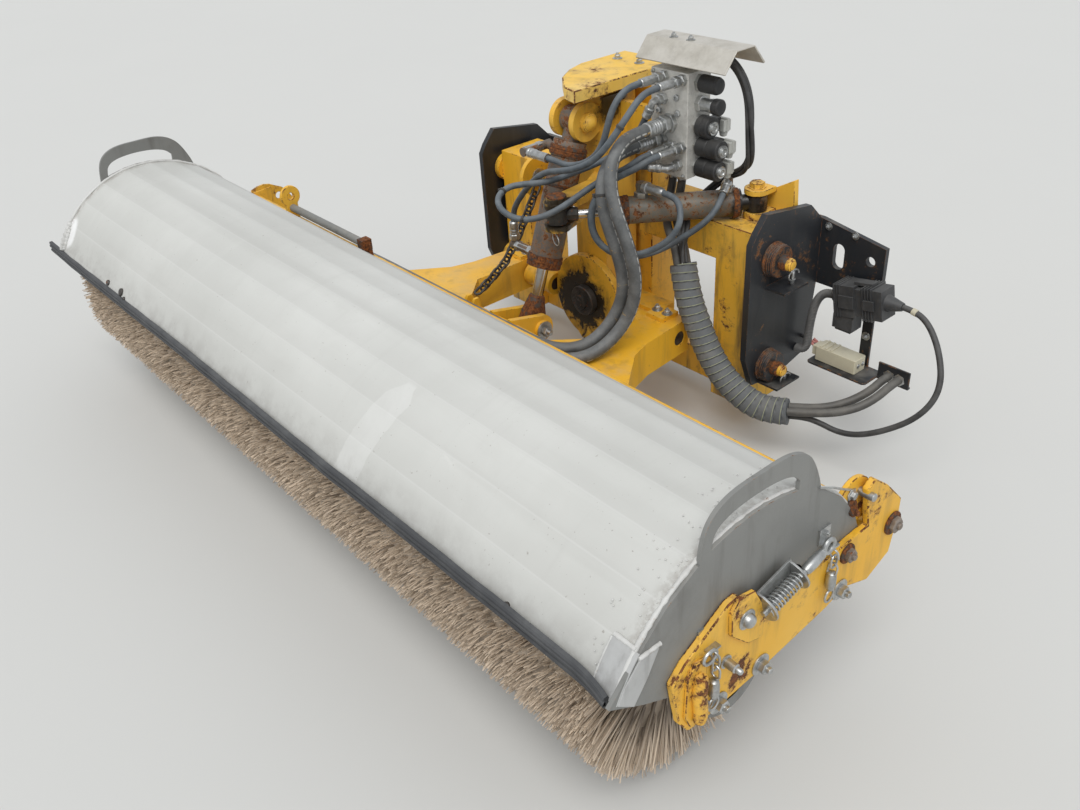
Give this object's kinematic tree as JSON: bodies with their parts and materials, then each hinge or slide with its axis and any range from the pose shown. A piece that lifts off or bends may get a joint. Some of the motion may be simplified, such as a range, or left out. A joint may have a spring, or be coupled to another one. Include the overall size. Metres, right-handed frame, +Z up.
{
  "type": "truck-mounted front sweeper broom",
  "caption": "Hydraulic front road broom: hooded cylindrical brush on a yoke that a cylinder lifts and a swing post slews, with valve block and pinned bracket plates.",
  "frame": {"origin": "centre of the four bolts that hold the two bracket plates to the carrier vehicle, in the plane of their rear faces, 490 mm above the road", "axes": "+X to the broom's right-hand end with the broom at the bottom of a plan view, -Y forward towards the brush, +Z up"},
  "size_m": [2.568, 1.429, 0.9978],
  "materials": {
    "bristle": "stiff polypropylene and wire bristle, dusty beige",
    "core_steel": "painted steel tube",
    "hood_grey": "weathered pale grey painted sheet",
    "yellow_paint": "gloss yellow paint with rust chips",
    "black_paint": "satin black paint with rust",
    "cylinder_grey": "rusty grey cylinder paint",
    "chrome_rod": "hard chrome",
    "valve_aluminium": "dull anodised block",
    "coil_black": "moulded coil",
    "cover_steel": "folded stainless sheet",
    "rubber": "weathered rubber",
    "pin_steel": "rusty pin steel",
    "motor_iron": "cast iron",
    "hose_rubber": "dusty rubber hydraulic hose",
    "fitting_zinc": "zinc-plated crimp and nut",
    "sleeve_fabric": "woven protective wrap",
    "cable_black": "black rubber cable",
    "connector_black": "moulded multi-pole connector",
    "connector_pale": "pale moulded battery connector"
  },
  "bodies": {
    "base": {"base_column": "yellow_paint", "leg_right": "yellow_paint", "leg_left": "yellow_paint", "cap_plate": "yellow_paint", "slew_anchor": "yellow_paint", "bracket_right": "black_paint", "bracket_left": "black_paint", "bracket_pins": "pin_steel", "connector_bracket": "black_paint", "loom_connector": "connector_black", "pale_connector": "connector_pale", "hose_sleeve": "sleeve_fabric", "supply_hose_a": "hose_rubber", "supply_hose_b": "hose_rubber", "loom_cable": "cable_black", "conduit": "cable_black", "plug_cable": "cable_black"},
    "swing": {"swing_post": "yellow_paint", "lift_shaft": "pin_steel", "pivot_plate": "yellow_paint", "pivot_hub": "motor_iron", "valve_mount": "yellow_paint", "valve_block": "valve_aluminium", "valve_coils": "coil_black", "valve_cover": "cover_steel", "hose_ends": "fitting_zinc", "motor_hose_a": "hose_rubber", "motor_hose_b": "hose_rubber", "lift_hose_top": "hose_rubber", "lift_hose_low": "hose_rubber", "loop_hose": "hose_rubber", "slew_hose_rod": "hose_rubber", "slew_hose_base": "hose_rubber", "feed_hose_a": "hose_rubber", "feed_hose_b": "hose_rubber", "coil_loom": "cable_black"},
    "broom": {"yoke": "yellow_paint", "rear_beam": "yellow_paint", "hood_rod": "fitting_zinc", "hood_shell": "hood_grey", "end_plate_right": "hood_grey", "end_plate_left": "hood_grey", "rubber_skirt": "rubber", "bearing_plate_right": "yellow_paint", "bearing_plate_left": "yellow_paint", "brush_motor": "motor_iron"},
    "brush": {"brush_bristles": "bristle", "brush_core": "core_steel"},
    "lift_barrel": {"lift_barrel": "cylinder_grey"},
    "lift_rod": {"lift_rod": "chrome_rod"},
    "slew_barrel": {"slew_barrel": "cylinder_grey"},
    "slew_rod": {"slew_rod": "chrome_rod"}
  },
  "joints": [
    {"name": "slew", "type": "hinge", "parent": "base", "child": "swing", "pos_m": [0, -0.255, 0], "axis": [0, 0, 1], "range_deg": [-18, 18], "deforming": ["slew_hose_rod", "slew_hose_base", "feed_hose_a", "feed_hose_b", "coil_loom", "hose_sleeve"]},
    {"name": "lift", "type": "hinge", "parent": "swing", "child": "broom", "pos_m": [0, -0.345, -0.202], "axis": [-1, 0, 0], "range_deg": [-4, 20], "deforming": ["motor_hose_a", "motor_hose_b"]},
    {"name": "brush_spin", "type": "hinge", "parent": "broom", "child": "brush", "pos_m": [0, -1.148, -0.19], "axis": [1, 0, 0], "continuous": true},
    {"name": "lift_barrel_tilt", "type": "hinge", "parent": "swing", "child": "lift_barrel", "pos_m": [0, -0.368, 0.325], "axis": [-1, 0, 0], "range_deg": [-0.5, 1.8], "deforming": ["lift_hose_top", "lift_hose_low"]},
    {"name": "lift_rod_slide", "type": "slide", "parent": "lift_barrel", "child": "lift_rod", "axis": [0, -0.3482, -0.9374], "range_m": [-0.076, 0.0155]},
    {"name": "slew_barrel_turn", "type": "hinge", "parent": "base", "child": "slew_barrel", "pos_m": [0.423, -0.141, 0.14], "axis": [0, 0, 1], "range_deg": [-6, 6]},
    {"name": "slew_rod_slide", "type": "slide", "parent": "slew_barrel", "child": "slew_rod", "axis": [-0.6271, -0.7789, 0], "range_m": [-0.09, 0.09]}
  ],
  "couplings": [
    {"joint": "lift_barrel_tilt", "follows": "lift", "ratio": 0.0765},
    {"joint": "lift_rod_slide", "follows": "lift", "m_per_rad": -0.2131},
    {"joint": "slew_barrel_turn", "follows": "slew", "ratio": 0.2976},
    {"joint": "slew_rod_slide", "follows": "slew", "m_per_rad": -0.257}
  ]
}
